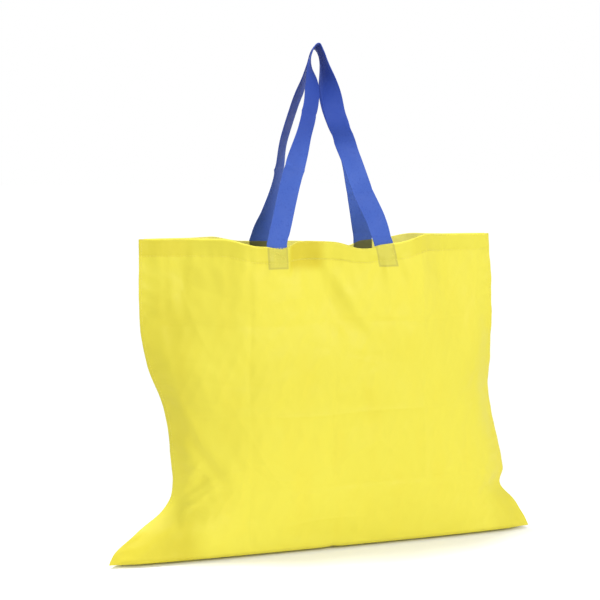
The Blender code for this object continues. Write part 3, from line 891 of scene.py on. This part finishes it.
# ---- straps ----
def band_section(width, thickness):
    """Half a strap's outline as (across, out): flat, with a thin groove inside each rounded edge."""
    half, edge = width / 2, thickness / 2
    shares = (0.0, 0.35, 0.65, 0.80, 0.84, 0.88, 0.94, 0.985)
    outs = (1.0, 1.0, 1.0, 1.0, 0.78, 1.0, 1.02, 0.75)
    side = [(share * half, out * edge) for share, out in zip(shares, outs)]
    upper = [(-a, o) for a, o in reversed(side[1:])] + side
    return upper + [(half, 0.0)] + [(a, -o) for a, o in reversed(upper)] + [(-half, 0.0)]


def add_band(name, places, across, normal, look, width=STRAP_WIDTH, thickness=STRAP):
    section = band_section(width, thickness)
    rings = []
    for place, aside, out in zip(places, across, normal):
        rings.append([place + aside * a + out * o for a, o in section])
    return linked(name, capped(np.array(rings), name), look)


def strap_x(word, side, height):
    """The middle of a strap at its foot: the sewn end, then the leg, which leans further."""
    bend = MOUTH_EDGE + NECK_START
    return sewn_x(word, side, min(height, bend)) + LEG_LEANS[word, side] * max(0.0, height - bend)


def loop_route(word):
    """The smooth middle line of a handle, every few millimetres, as arrays x and z."""
    low = MOUTH_EDGE + LOOP_START
    guide = [(strap_x(word, -1, low), low), *LOOP_ROUTES[word], (strap_x(word, 1, low), low)]
    guide = np.array([guide[0], *guide, guide[-1]])
    points = []
    for a, b, c, d in zip(guide, guide[1:], guide[2:], guide[3:]):
        for t in np.linspace(0, 1, 16, endpoint=False):
            bend = (2 * a - 5 * b + 4 * c - d) * t**2 + (3 * b - a - 3 * c + d) * t**3
            points.append(0.5 * (2 * b + (c - a) * t + bend))
    points.append(guide[-1])
    return np.array(points)


def add_loop(word, facing, look):
    """The free part of a handle: flat at its feet, turning edge on up its legs."""
    route = loop_route(word)
    top = int(np.argmax(route[:, 1]))
    low = MOUTH_EDGE + LOOP_START
    foot_y = facing * (STRAP_OUTSIDE - STRAP / 2)
    rise = np.clip((route[:, 1] - low) / (LOOP_TOP - low), 0, 1)
    y = foot_y + (facing * LOOP_LEAN - foot_y) * rise
    ahead = np.gradient(route, axis=0)
    ahead /= np.linalg.norm(ahead, axis=1)[:, None]
    side = np.arange(len(route)) > top
    left_turn, right_turn = LOOP_EDGE_ON
    past = smooth(-LOOP_BLEND, LOOP_BLEND, route[:, 0] - route[top, 0])
    left, right = (
        sum(share * smooth(start, end, rise) for start, end, share in stages)
        for stages in LOOP_TURNS[word]
    )
    turned = np.where(side, right, left) * smooth(0.0, 0.12, rise)
    turn = np.radians(left_turn + (right_turn - left_turn) * past) * turned
    turn += np.radians(LOOP_WRINGS[word]) * side * np.exp(-(((rise - WRING_AT) / WRING_REACH) ** 2))
    upright = 1 - smooth(0.0, 0.05, rise)
    level = np.stack([ahead[:, 1], np.zeros(len(route)), -ahead[:, 0]], axis=-1)
    foot_level = np.stack([np.where(side, -1.0, 1.0), *np.zeros((2, len(route)))], axis=-1)
    level = level * (1 - upright)[:, None] + foot_level * upright[:, None]
    level /= np.linalg.norm(level, axis=1)[:, None]
    across = level * np.cos(turn)[:, None] + np.array([0, 1, 0]) * np.sin(turn)[:, None]
    forward = np.stack([ahead[:, 0], np.zeros(len(route)), ahead[:, 1]], axis=-1)
    normal = np.cross(forward, across)
    normal /= np.linalg.norm(normal, axis=1)[:, None]
    length = np.concatenate([[0], np.cumsum(np.linalg.norm(np.diff(route, axis=0), axis=1))])
    ripple = 0.0004 * np.sin(length / 0.013 + facing) * np.minimum(1, rise * 8)
    for height, on_right, depth in LOOP_CREASES[word]:
        nearest = np.argmin(np.where(side == on_right, np.abs(route[:, 1] - height), 1.0))
        ripple += depth * np.exp(-np.abs(length - length[nearest]) / 0.004)
    places = np.stack([route[:, 0], y, route[:, 1]], axis=-1) + normal * ripple[:, None]
    piece = add_band(f"{word}_handle_strap", places, across, normal, look)
    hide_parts(f"{word}_handle_loop")
    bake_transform(piece)


def straight_band(name, x_at, y, low, high, look, width=STRAP_WIDTH, thickness=STRAP):
    """A flat upright length of band. x_at gives its middle at a height."""
    heights = np.array([low, low + 0.0003, (low + high) / 2, high - 0.0003, high])
    count = len(heights)
    places = np.stack([[x_at(z) for z in heights], np.full(count, y), heights], axis=-1)
    across = np.tile(np.array([1.0, 0, 0]), (count, 1))
    normal = np.tile(np.array([0, 1.0, 0]), (count, 1))
    return add_band(name, places, across, normal, look, width, thickness)


def box_stitch_lines(x_at, y, facing):
    """The square with a cross in it that holds a strap end."""
    low, high = MOUTH_EDGE + BOX_STITCH_LOW, MOUTH_EDGE + BOX_STITCH_HIGH
    corners = []
    for across, z in ((-1, low), (1, low), (1, high), (-1, high)):
        corners.append(np.array([x_at(z) + across * BOX_STITCH_HALF_WIDTH, y, z]))
    runs = [(corners[k], corners[(k + 1) % 4]) for k in range(4)]
    runs += [(corners[0], corners[2]), (corners[1], corners[3])]
    share = np.linspace(0.02, 0.98, 12)[:, None]
    lines = []
    for start, end in runs:
        points = start * (1 - share) + end * share
        lines.append((points, facing_out(points, facing)))
    return lines


def add_straps(word, facing, webbing, thread):
    y = facing * (STRAP_OUTSIDE - STRAP / 2)
    for side, side_word in ((-1, "left"), (1, "right")):
        x_at = functools.partial(strap_x, word, side)
        start = f"{word}_{side_word}_strap"
        low, high = MOUTH_EDGE - STRAP_END_DEPTH, MOUTH_EDGE + 0.0016
        piece = straight_band(f"{start}_sewn", x_at, y, low, high, webbing)
        settle(piece, f"{start}_end", word)
        low, high = MOUTH_EDGE + NECK_START - 0.0004, MOUTH_EDGE + LOOP_START + 0.0006
        piece = straight_band(f"{start}_bend", x_at, y, low, high, webbing, thickness=STRAP * 1.04)
        settle(piece, f"{start}_neck", f"{word}_necks")
        outside = facing * (MOUTH_DEPTH + 0.0004)
        name = f"{word}_{side_word}_box_stitches"
        lines = box_stitch_lines(x_at, outside, facing)
        piece = linked(name, stitch_mesh(name, lines), thread)
        settle_cloth(piece, f"{word}_{side_word}_box_stitch")
    add_loop(word, facing, webbing)


# ---- closure band ----
def add_band_end(look, thread):
    """The end by which the elastic band is sewn on the back, with two rows of stitches."""
    low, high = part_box("closure_band_end")
    width, thickness, y = high.x - low.x, high.y - low.y, (low.y + high.y) / 2
    piece = straight_band("elastic_sewn_end", lambda z: 0.0, y, low.z, high.z, look, width, thickness)
    settle(piece, "closure_band_end", "rear")
    lines = []
    for height in (0.3, 0.6):
        share = np.linspace(-0.46, 0.46, 30)
        z = low.z + (high.z - low.z) * height
        points = np.stack([share * width, np.full(30, high.y), np.full(30, z)], axis=-1)
        lines.append((points, facing_out(points, 1)))
    piece = linked("elastic_stitches", stitch_mesh("elastic_stitches", lines), thread)
    settle(piece, "closure_band_stitch", "rear")


def add_band_loop(look):
    """The elastic loop that holds the folded bag: flat sided, and narrower where it is sewn on."""
    low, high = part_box("closure_band_loop")
    depth, length = high.y - low.y, high.z - low.z
    count = 96
    places = []
    for step in range(count):
        angle = 2 * math.pi * step / count
        across, up = math.cos(angle), math.sin(angle)
        radius = depth / 2 - ELASTIC / 2
        bulge = abs(across) ** 0.55 * math.copysign(1, across)
        z = (low.z + high.z) / 2 + up * (length / 2 - ELASTIC / 2)
        narrow = 1 - 0.35 * smooth(0.80, 0.99, (z - low.z) / length)
        places.append(Vector((0, (low.y + high.y) / 2 + bulge * radius * float(narrow), z)))
    section = band_section(high.x - low.x, ELASTIC)
    rings = []
    for step, place in enumerate(places):
        ahead = places[(step + 1) % count] - places[step - 1]
        normal = Vector((0, ahead.z, -ahead.y)).normalized()
        rings.append([place + Vector((a, 0, 0)) + normal * o for a, o in section])
    rings.append(rings[0])
    mesh = grid_mesh("elastic_loop", np.array([[tuple(p) for p in ring] for ring in rings]), wrap=True)
    made = bmesh.new()
    made.from_mesh(mesh)
    bmesh.ops.remove_doubles(made, verts=made.verts, dist=1e-6)
    bmesh.ops.recalc_face_normals(made, faces=made.faces)
    made.to_mesh(mesh)
    made.free()
    mesh.shade_smooth()
    piece = linked("elastic_loop", mesh, look)
    settle(piece, "closure_band_loop", "closure_band")


# ---- stage ----
CAMERA_AT = (-0.484, -1.429, 0.4646)
CAMERA_TO = (-0.0279, 0.0, 0.3032)
CAMERA_LENS = 74.06
WORLD_LIGHT = 0.80
LAMPS_AIM = (0, 0, 0.2)
LAMPS = {  # place, width and power
    "key": ((0.65, -2.42, 1.5), 1.0, 45),
    "top": ((-0.35, 0.32, 2.5), 0.45, 54),
}


def add_camera():
    data = bpy.data.cameras.new("camera")
    data.lens = CAMERA_LENS
    data.sensor_width = 36
    camera = bpy.data.objects.new("camera", data)
    camera.location = CAMERA_AT
    camera.rotation_mode = "QUATERNION"
    camera.rotation_quaternion = (Vector(CAMERA_TO) - Vector(CAMERA_AT)).to_track_quat("-Z", "Y")
    bpy.context.scene.collection.objects.link(camera)
    bpy.context.scene.camera = camera


def add_light(name, place, size, power):
    data = bpy.data.lights.new(name, "AREA")
    data.shape = "DISK"
    data.size = size
    data.energy = power
    lamp = bpy.data.objects.new(name, data)
    lamp.location = place
    lamp.rotation_mode = "QUATERNION"
    lamp.rotation_quaternion = (Vector(LAMPS_AIM) - Vector(place)).to_track_quat("-Z", "Y")
    bpy.context.scene.collection.objects.link(lamp)


def add_stage():
    """A white room, seen at full strength but lighting the bag a little less, and two soft lamps."""
    world = bpy.data.worlds.new("studio")
    world.use_nodes = True
    nodes, links = world.node_tree.nodes, world.node_tree.links
    path = nodes.new("ShaderNodeLightPath")
    strength = nodes.new("ShaderNodeMapRange")
    strength.inputs["To Min"].default_value = WORLD_LIGHT
    strength.inputs["To Max"].default_value = 1.0
    links.new(path.outputs["Is Camera Ray"], strength.inputs["Value"])
    background = nodes["Background"]
    background.inputs["Color"].default_value = (1.0, 1.0, 1.0, 1)
    links.new(strength.outputs[0], background.inputs["Strength"])
    scene = bpy.context.scene
    scene.world = world
    scene.view_settings.view_transform = "Standard"
    floor = linked("floor", bpy.data.meshes.new("floor"), floor_look())
    made = bmesh.new()
    bmesh.ops.create_grid(made, x_segments=2, y_segments=2, size=30)
    made.to_mesh(floor.data)
    made.free()
    for name, (place, size, power) in LAMPS.items():
        add_light(name, place, size, power)


# ---- assembly ----
def main():
    add_camera()
    add_stage()
    panel, hem, hem_inside, thread = panel_look(), hem_look(), hem_inside_look(), thread_look()
    webbing, elastic = webbing_look(), elastic_look()
    for word, facing in (("front", -1), ("back", 1)):
        add_panel(word, facing, panel, hem)
        add_hem(word, facing, hem_inside)
        add_hem_stitches(word, facing, thread)
    add_base(base_look())
    for word, side in (("left", -1), ("right", 1)):
        add_seam(word, side, panel)
        add_seam_stitches(word, side, thread)
    add_straps("front", -1, webbing, thread)
    add_straps("rear", 1, webbing, thread)
    add_band_end(elastic, thread)
    add_band_loop(elastic)


main()
